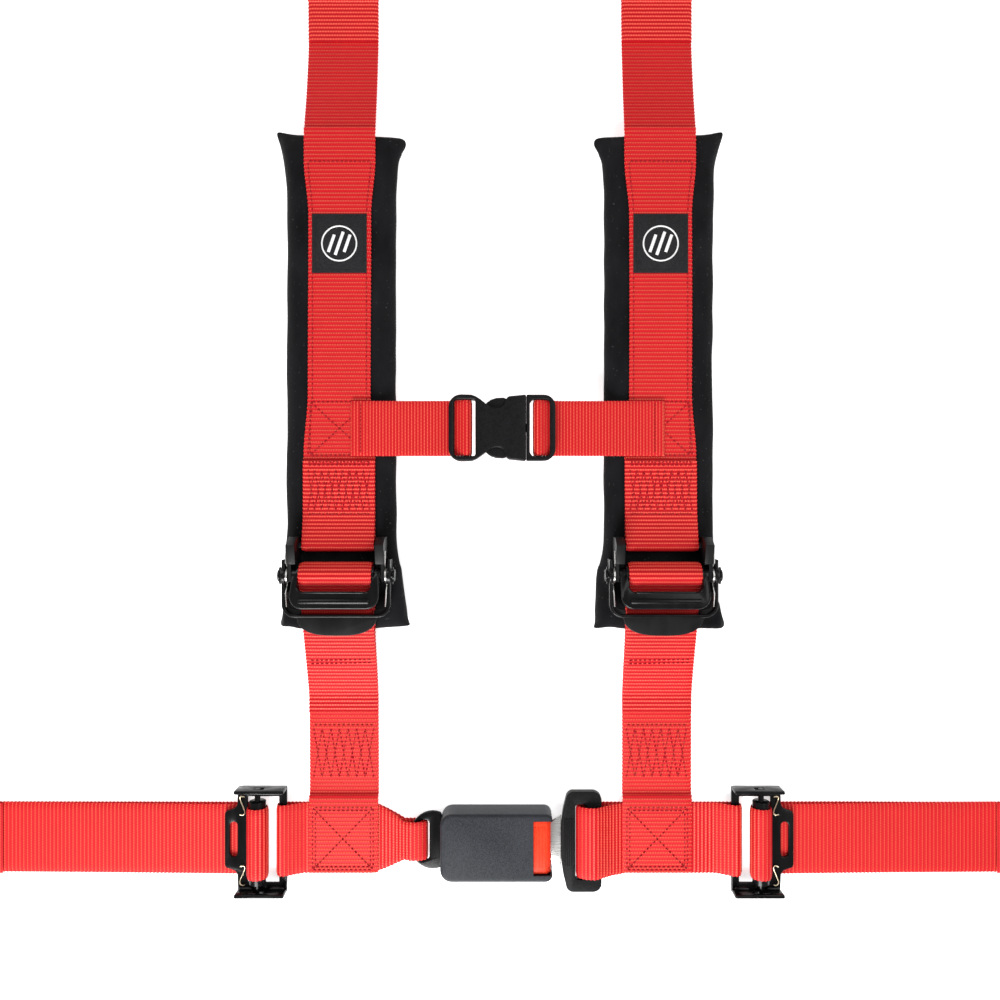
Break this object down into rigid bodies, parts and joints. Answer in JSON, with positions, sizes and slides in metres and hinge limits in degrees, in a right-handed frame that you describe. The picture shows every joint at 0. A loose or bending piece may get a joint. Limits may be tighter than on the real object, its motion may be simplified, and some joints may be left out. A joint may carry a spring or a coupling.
{
  "type": "racing harness",
  "caption": "Racing harness with padded shoulder straps, sternum strap, lever adjusters, sprung lap adjusters and a push-button lap buckle, laid flat.",
  "frame": {"origin": "middle of the footprint, on the floor", "axes": "+X across the harness to the tongue side of the lap buckle, +Y up the shoulder straps, +Z off the floor"},
  "size_m": [0.854, 0.706, 0.04],
  "materials": {
    "webbing": "flat woven polyester, cross-ribbed",
    "sternum_webbing": "flat woven polyester, fine ribs",
    "pad_fabric": "short-napped synthetic suede",
    "label_fabric": "woven satin patch",
    "black_steel": "gloss black coat",
    "satin_black_steel": "satin black coat",
    "bright_steel": "zinc plated",
    "spring_wire": "yellow-passivated wire",
    "clip_plastic": "moulded acetal",
    "buckle_plastic": "fine-grained moulded",
    "button_plastic": "ribbed moulded"
  },
  "bodies": {
    "left_half": {"shoulder_pad_left": "pad_fabric", "pad_label_left": "label_fabric", "shoulder_strap_left": "webbing", "lower_strap_left": "webbing", "adjuster_frame_left": "black_steel", "adjuster_bracket_left": "satin_black_steel", "adjuster_pin_left": "black_steel", "adjuster_springs_left": "bright_steel", "inner_lap_strap_left": "webbing", "lap_adjuster_frame_left": "black_steel", "lap_adjuster_springs_left": "spring_wire", "lap_belt_left": "webbing", "sternum_strap_left": "sternum_webbing", "sternum_socket": "clip_plastic", "buckle_bottom_cover": "buckle_plastic", "buckle_top_cover": "buckle_plastic", "buckle_frame": "bright_steel", "buckle_loop": "black_steel", "buckle_rivets": "bright_steel", "buckle_latch_spring": "bright_steel", "button_springs": "bright_steel"},
    "right_half": {"shoulder_pad_right": "pad_fabric", "pad_label_right": "label_fabric", "shoulder_strap_right": "webbing", "lower_strap_right": "webbing", "adjuster_frame_right": "black_steel", "adjuster_bracket_right": "satin_black_steel", "adjuster_pin_right": "black_steel", "adjuster_springs_right": "bright_steel", "inner_lap_strap_right": "webbing", "lap_adjuster_frame_right": "black_steel", "lap_adjuster_springs_right": "spring_wire", "lap_belt_right": "webbing", "sternum_strap_right": "sternum_webbing", "sternum_plug": "clip_plastic", "tongue_blade": "bright_steel", "tongue_grip": "buckle_plastic"},
    "button": {"press_button": "button_plastic"},
    "latch": {"buckle_latch": "bright_steel"},
    "ejector": {"buckle_ejector": "buckle_plastic"},
    "prong_upper": {"sternum_prong_upper": "clip_plastic"},
    "prong_lower": {"sternum_prong_lower": "clip_plastic"},
    "lever_left": {"adjuster_lever_left": "black_steel"},
    "drum_left": {"adjuster_drum_left": "bright_steel"},
    "lap_bar_left": {"lap_sliding_bar_left": "satin_black_steel", "lap_belt_wrap_left": "webbing"},
    "shoulder_anchor_left": {"shoulder_anchor_left": "satin_black_steel"},
    "lap_anchor_left": {"lap_anchor_left": "satin_black_steel"},
    "lever_right": {"adjuster_lever_right": "black_steel"},
    "drum_right": {"adjuster_drum_right": "bright_steel"},
    "lap_bar_right": {"lap_sliding_bar_right": "satin_black_steel", "lap_belt_wrap_right": "webbing"},
    "shoulder_anchor_right": {"shoulder_anchor_right": "satin_black_steel"},
    "lap_anchor_right": {"lap_anchor_right": "satin_black_steel"}
  },
  "joints": [
    {"name": "tongue_release", "type": "slide", "parent": "left_half", "child": "right_half", "axis": [1, 0, 0], "range_m": [0, 0.2]},
    {"name": "button_press", "type": "slide", "parent": "left_half", "child": "button", "axis": [-1, 0, 0], "range_m": [0, 0.004], "stiffness_N_per_m": 600, "springref_m": -0.001},
    {"name": "latch_lift", "type": "hinge", "parent": "left_half", "child": "latch", "pos_m": [-0.018, -0.3155, 0.01145], "axis": [0, -1, 0], "range_deg": [0, 12], "deforming": ["buckle_latch_spring"]},
    {"name": "ejector_follow", "type": "slide", "parent": "left_half", "child": "ejector", "axis": [1, 0, 0], "range_m": [0, 0.006]},
    {"name": "prong_upper_flex", "type": "hinge", "parent": "right_half", "child": "prong_upper", "pos_m": [0.0176, -0.01325, 0.02232], "axis": [0, 0, 1], "range_deg": [0, 9], "stiffness_Nm_per_rad": 0.3},
    {"name": "prong_lower_flex", "type": "hinge", "parent": "right_half", "child": "prong_lower", "pos_m": [0.0176, -0.03775, 0.02232], "axis": [0, 0, -1], "range_deg": [0, 9], "stiffness_Nm_per_rad": 0.3},
    {"name": "lever_left_lift", "type": "hinge", "parent": "left_half", "child": "lever_left", "pos_m": [-0.1115, -0.1265, 0.027], "axis": [-1, 0, 0], "range_deg": [0, 60], "stiffness_Nm_per_rad": 0.12, "springref_deg": -17.19},
    {"name": "drum_left_turn", "type": "hinge", "parent": "left_half", "child": "drum_left", "pos_m": [-0.1115, -0.1265, 0.027], "axis": [1, 0, 0], "continuous": true},
    {"name": "lap_bar_left_slide", "type": "slide", "parent": "left_half", "child": "lap_bar_left", "axis": [1, 0, 0], "range_m": [0, 0.002], "stiffness_N_per_m": 500, "springref_m": -0.001},
    {"name": "shoulder_anchor_left_swing", "type": "hinge", "parent": "left_half", "child": "shoulder_anchor_left", "pos_m": [-0.1115, 0.295, 0.0059], "axis": [1, 0, 0], "range_deg": [0, 60]},
    {"name": "lap_anchor_left_swing", "type": "hinge", "parent": "left_half", "child": "lap_anchor_left", "pos_m": [-0.369, -0.3155, 0.0059], "axis": [0, 1, 0], "range_deg": [0, 60]},
    {"name": "lever_right_lift", "type": "hinge", "parent": "right_half", "child": "lever_right", "pos_m": [0.1115, -0.1265, 0.027], "axis": [-1, 0, 0], "range_deg": [0, 60], "stiffness_Nm_per_rad": 0.12, "springref_deg": -17.19},
    {"name": "drum_right_turn", "type": "hinge", "parent": "right_half", "child": "drum_right", "pos_m": [0.1115, -0.1265, 0.027], "axis": [1, 0, 0], "continuous": true},
    {"name": "lap_bar_right_slide", "type": "slide", "parent": "right_half", "child": "lap_bar_right", "axis": [-1, 0, 0], "range_m": [0, 0.002], "stiffness_N_per_m": 500, "springref_m": -0.001},
    {"name": "shoulder_anchor_right_swing", "type": "hinge", "parent": "right_half", "child": "shoulder_anchor_right", "pos_m": [0.1115, 0.295, 0.0059], "axis": [1, 0, 0], "range_deg": [0, 60]},
    {"name": "lap_anchor_right_swing", "type": "hinge", "parent": "right_half", "child": "lap_anchor_right", "pos_m": [0.369, -0.3155, 0.0059], "axis": [0, -1, 0], "range_deg": [0, 60]}
  ],
  "couplings": [
    {"joint": "latch_lift", "follows": "button_press", "rad_per_m": 52},
    {"joint": "ejector_follow", "follows": "tongue_release", "ratio": 0.03},
    {"joint": "prong_lower_flex", "follows": "prong_upper_flex", "ratio": 1}
  ]
}
